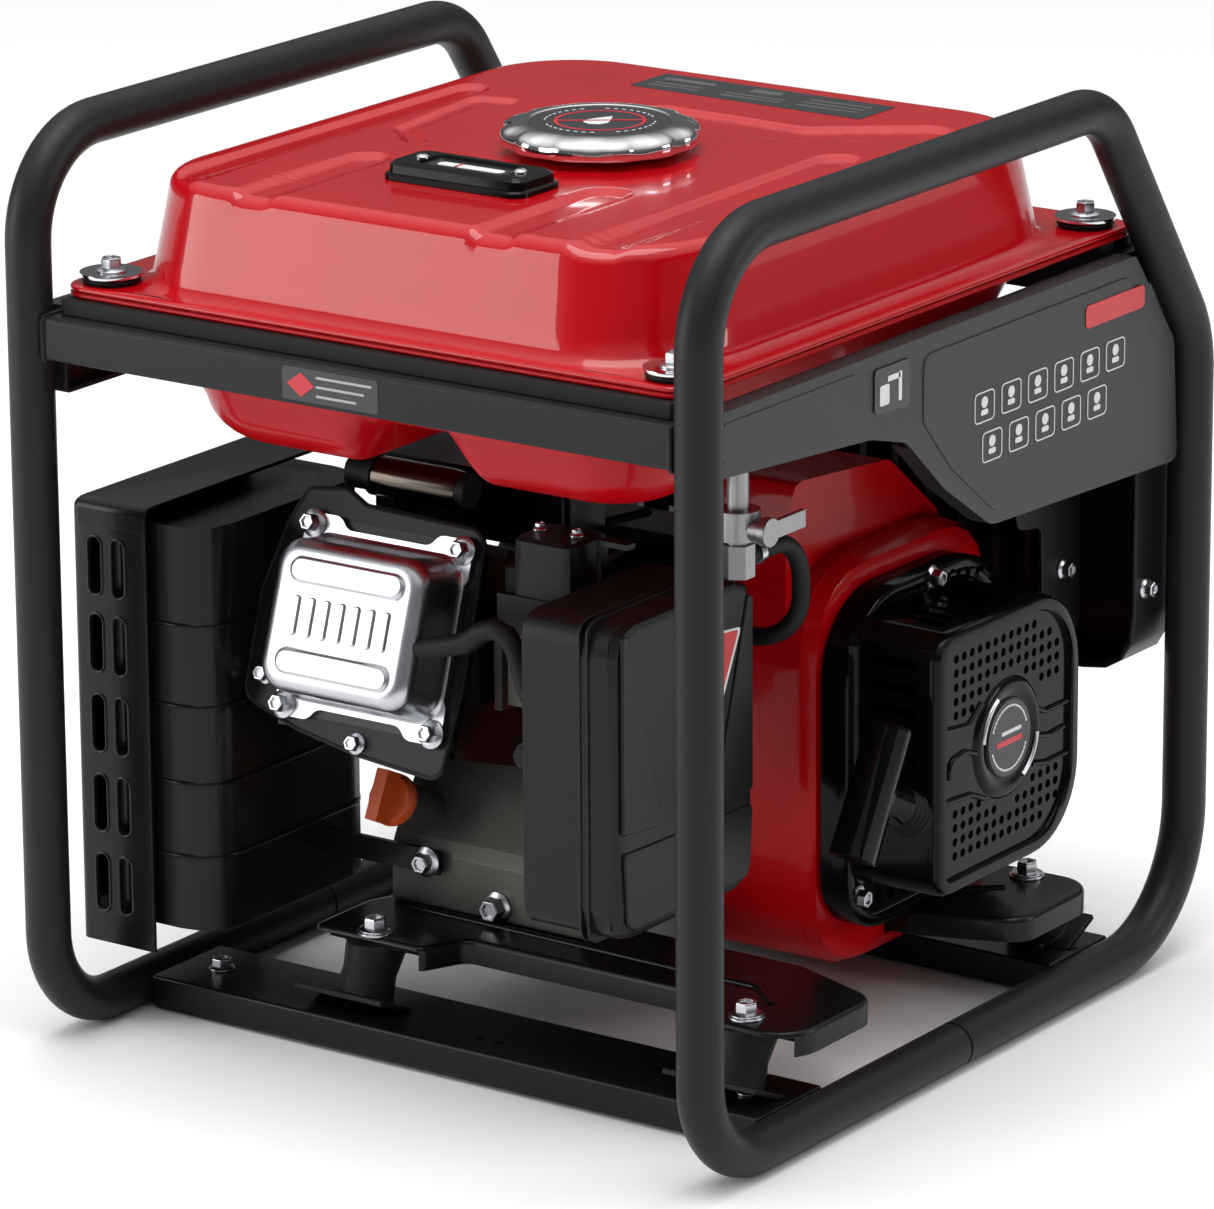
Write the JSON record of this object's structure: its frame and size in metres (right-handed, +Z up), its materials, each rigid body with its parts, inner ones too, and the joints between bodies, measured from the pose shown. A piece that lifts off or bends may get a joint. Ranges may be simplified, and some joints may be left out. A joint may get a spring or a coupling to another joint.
{
  "type": "portable generator",
  "caption": "Open-frame portable generator: tubular frame, pressed fuel tank, leaning single-cylinder engine, fan shroud with recoil starter, guarded muffler and rear outlet panel.",
  "frame": {"origin": "on the floor, below the centre of the overall box", "axes": "+Z up, +X from the exhaust side to the recoil starter, +Y from the cylinder head to the outlet panel"},
  "size_m": [0.4579, 0.514, 0.5215],
  "materials": {
    "frame_paint": "satin",
    "black_paint": "semi-gloss",
    "cover_plastic": "satin",
    "rubber": "matte",
    "tank_red": "gloss",
    "chrome": "polished",
    "steel": "machined",
    "cast_alloy": "as cast",
    "cover_steel": "bright pressed",
    "gloss_black": "gloss",
    "satin_black": "satin",
    "orange_plastic": "satin",
    "switch_red": "gloss",
    "button_white": "satin",
    "plug_ceramic": "glazed",
    "stator_iron": "varnished",
    "rope_fibre": "braided",
    "filter_foam": "open foam"
  },
  "bodies": {
    "generator": {"left_frame_loop": "frame_paint", "right_frame_loop": "frame_paint", "front_upper_rail": "frame_paint", "rear_upper_rail": "frame_paint", "front_base_rail": "black_paint", "rear_base_rail": "black_paint", "foot_front_left": "rubber", "foot_front_right": "rubber", "foot_rear_left": "rubber", "foot_rear_right": "rubber", "left_side_cover": "cover_plastic", "right_side_cover": "cover_plastic", "front_engine_bearer": "black_paint", "rear_engine_bearer": "black_paint", "mount_front_left": "rubber", "mount_front_right": "rubber", "mount_rear_left": "rubber", "mount_rear_right": "rubber", "tank_upper_shell": "tank_red", "tank_lower_shell": "tank_red", "filler_neck": "steel", "fuel_gauge": "gloss_black", "fuel_valve_body": "steel", "fuel_hose": "rubber", "crankcase": "cast_alloy", "cylinder_head": "cast_alloy", "valve_cover": "cover_steel", "crankshaft": "steel", "connecting_rod": "cast_alloy", "piston": "cast_alloy", "spark_plug": "plug_ceramic", "spark_plug_cap": "rubber", "carburetor": "cast_alloy", "throttle_motor": "gloss_black", "air_cleaner_base": "satin_black", "air_filter_element": "filter_foam", "air_cleaner_cover": "satin_black", "breather_hose": "rubber", "cylinder_shroud": "black_paint", "muffler": "black_paint", "muffler_guard": "black_paint", "alternator_stator": "stator_iron", "fan_shroud": "tank_red", "recoil_housing": "gloss_black", "control_box": "satin_black", "inverter_module": "cast_alloy", "duplex_outlet": "gloss_black"},
    "cap_seal": {"cap_gasket": "rubber"},
    "cap": {"fuel_cap": "chrome"},
    "valve_lever": {"fuel_valve_lever": "steel"},
    "choke": {"choke_lever": "steel"},
    "grip": {"starter_grip": "satin_black", "starter_rope": "rope_fibre"},
    "reel": {"starter_reel": "satin_black"},
    "rotor": {"flywheel_rotor": "steel", "cooling_fan": "satin_black"},
    "engine_rocker": {"engine_switch": "switch_red"},
    "eco_rocker": {"eco_switch": "gloss_black"},
    "breaker": {"breaker_button": "button_white"},
    "oil_cap": {"oil_filler_cap": "orange_plastic"}
  },
  "joints": [
    {"name": "cap_lift", "type": "slide", "parent": "generator", "child": "cap_seal", "axis": [0, 0, 1], "range_m": [0, 0.06]},
    {"name": "cap_turn", "type": "hinge", "parent": "cap_seal", "child": "cap", "pos_m": [0.005, -0.028, 0.5], "axis": [0, 0, 1], "range_deg": [0, 90]},
    {"name": "fuel_valve_turn", "type": "hinge", "parent": "generator", "child": "valve_lever", "pos_m": [0.1713, -0.118, 0.324], "axis": [1, 0, 0], "range_deg": [-90, 0]},
    {"name": "choke_turn", "type": "hinge", "parent": "generator", "child": "choke", "pos_m": [0.07, -0.1229, 0.2362], "axis": [1, 0, 0], "range_deg": [-25, 25]},
    {"name": "starter_pull", "type": "slide", "parent": "generator", "child": "grip", "axis": [0, -0.866, 0.5], "range_m": [0, 0.6], "stiffness_N_per_m": 20, "springref_m": -0.5, "deforming": ["starter_rope"]},
    {"name": "reel_spin", "type": "hinge", "parent": "generator", "child": "reel", "pos_m": [0.19, 0.077, 0.167], "axis": [1, 0, 0], "range_deg": [-560, 0]},
    {"name": "flywheel_spin", "type": "hinge", "parent": "generator", "child": "rotor", "pos_m": [0.064, 0.077, 0.167], "axis": [1, 0, 0], "continuous": true},
    {"name": "engine_switch_rock", "type": "hinge", "parent": "generator", "child": "engine_rocker", "pos_m": [-0.13, 0.247, 0.3], "axis": [1, 0, 0], "range_deg": [0, 10]},
    {"name": "eco_switch_rock", "type": "hinge", "parent": "generator", "child": "eco_rocker", "pos_m": [-0.08, 0.247, 0.3], "axis": [1, 0, 0], "range_deg": [0, 10]},
    {"name": "breaker_push", "type": "slide", "parent": "generator", "child": "breaker", "axis": [0, -1, 0], "range_m": [0, 0.0025], "stiffness_N_per_m": 800},
    {"name": "oil_cap_turn", "type": "hinge", "parent": "generator", "child": "oil_cap", "pos_m": [-0.086, -0.094, 0.122], "axis": [0, -0.9004, 0.435], "range_deg": [0, 360]}
  ],
  "couplings": [
    {"joint": "reel_spin", "follows": "starter_pull", "rad_per_m": -16.129}
  ]
}
